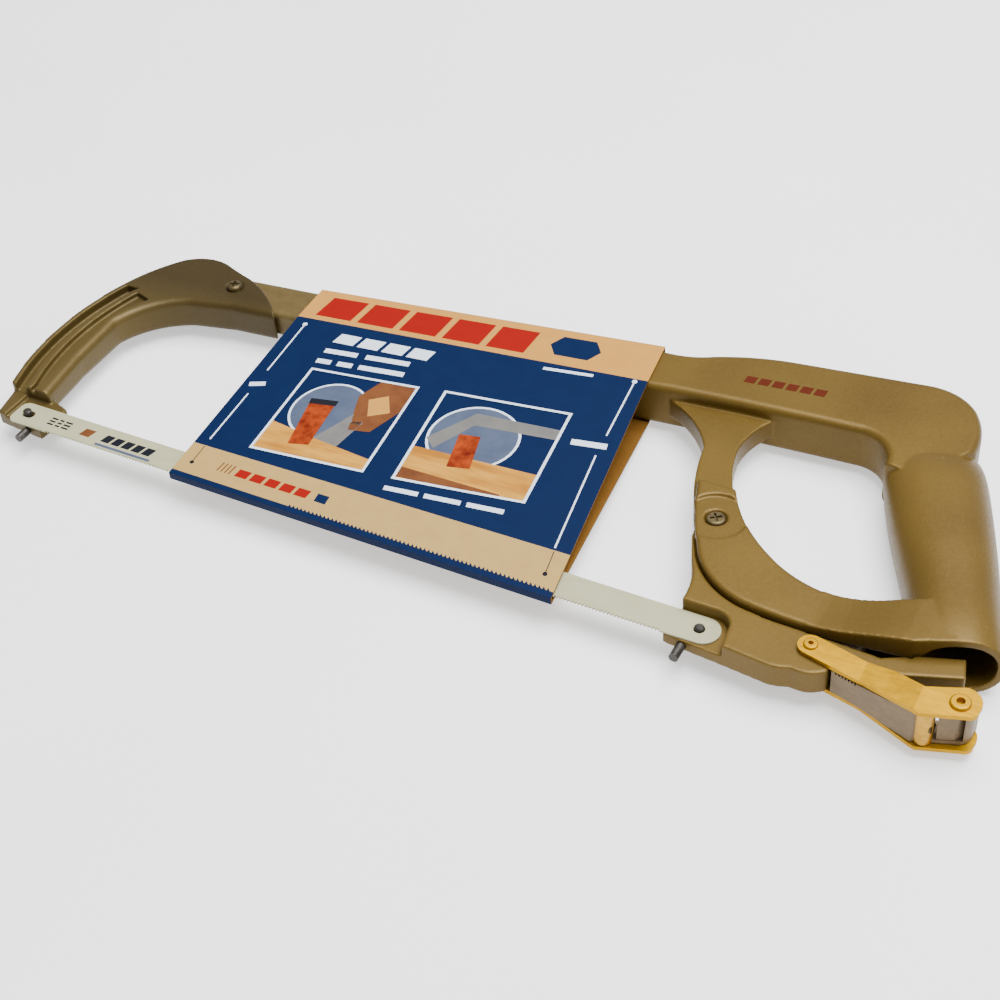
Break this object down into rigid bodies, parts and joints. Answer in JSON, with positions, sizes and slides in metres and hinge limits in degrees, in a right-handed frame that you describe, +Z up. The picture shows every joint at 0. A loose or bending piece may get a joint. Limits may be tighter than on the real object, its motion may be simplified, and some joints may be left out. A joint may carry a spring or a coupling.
{
  "type": "hacksaw",
  "caption": "High-tension hacksaw with a closed pistol-grip handle, tubular spine, front bow, eccentric tension lever, blade and printed card sleeve",
  "frame": {"origin": "Under the middle of the whole saw, on the surface it lies on.", "axes": "+X from the front bow towards the handle along the blade, +Y from the blade towards the spine, +Z up through the saw's thickness, which lies on its side."},
  "size_m": [0.4208, 0.1654, 0.0265],
  "materials": {
    "handle_paint": "satin bronze lacquer over a die casting",
    "bow_paint": "satin bronze lacquer over a die casting",
    "tube_paint": "satin bronze lacquer on steel tube",
    "zinc_plate": "yellow zinc plating on pressed steel",
    "lever_steel": "dull passivated steel",
    "dark_steel": "oiled steel",
    "pin_steel": "dark hardened steel",
    "bush_brass": "turned brass",
    "blade_enamel": "off-white enamel",
    "printed_card": "printed card, kraft inside"
  },
  "bodies": {
    "frame": {"front_bow": "bow_paint", "spine_tube": "tube_paint", "front_bow_bolt": "dark_steel", "front_bow_nut": "dark_steel", "front_blade_pin": "pin_steel", "front_side_pin": "pin_steel", "handle": "handle_paint", "handle_set_screw": "dark_steel", "pivot_bolt": "dark_steel", "pivot_nut": "dark_steel", "anchor_pin": "pin_steel"},
    "arm": {"tension_arm": "handle_paint", "pivot_bush": "bush_brass", "rear_blade_pin": "pin_steel", "rear_side_pin": "pin_steel"},
    "lever": {"link_plate_near": "zinc_plate", "link_plate_far": "zinc_plate", "tension_lever": "lever_steel", "fulcrum_pin": "zinc_plate", "eccentric": "pin_steel", "rear_rivet": "zinc_plate", "rear_spacer": "lever_steel", "adjuster_barrel": "bush_brass"},
    "adjuster": {"adjusting_screw": "dark_steel"},
    "strap": {"draw_strap": "lever_steel"},
    "blade": {"saw_blade": "blade_enamel"},
    "sleeve": {"card_sleeve": "printed_card"}
  },
  "joints": [
    {"name": "arm_pivot", "type": "hinge", "parent": "frame", "child": "arm", "pos_m": [0.09666, -0.01997, 0.013], "axis": [0, 0, 1], "range_deg": [-1, 0]},
    {"name": "lever_fulcrum", "type": "hinge", "parent": "arm", "child": "lever", "pos_m": [0.15016, -0.06627, 0.013], "axis": [0, 0, 1], "range_deg": [-68, 0]},
    {"name": "strap_anchor", "type": "hinge", "parent": "frame", "child": "strap", "pos_m": [0.16115, -0.05337, 0.013], "axis": [0, 0, 1], "range_deg": [-8.8, 0]},
    {"name": "blade_pin", "type": "hinge", "parent": "arm", "child": "blade", "pos_m": [0.11135, -0.06907, 0.013], "axis": [0, 0, 1], "range_deg": [0, 0.95]},
    {"name": "adjuster_turn", "type": "hinge", "parent": "lever", "child": "adjuster", "pos_m": [0.16386, -0.07017, 0.013], "axis": [0.9652, -0.2614, 0], "continuous": true},
    {"name": "sleeve_slide", "type": "slide", "parent": "frame", "child": "sleeve", "axis": [0.9961, 0.088, 0], "range_m": [-0.006, 0.001]}
  ],
  "couplings": [
    {"joint": "arm_pivot", "follows": "lever_fulcrum", "ratio": 0.01437},
    {"joint": "strap_anchor", "follows": "lever_fulcrum", "ratio": 0.12885},
    {"joint": "blade_pin", "follows": "lever_fulcrum", "ratio": -0.01367}
  ]
}
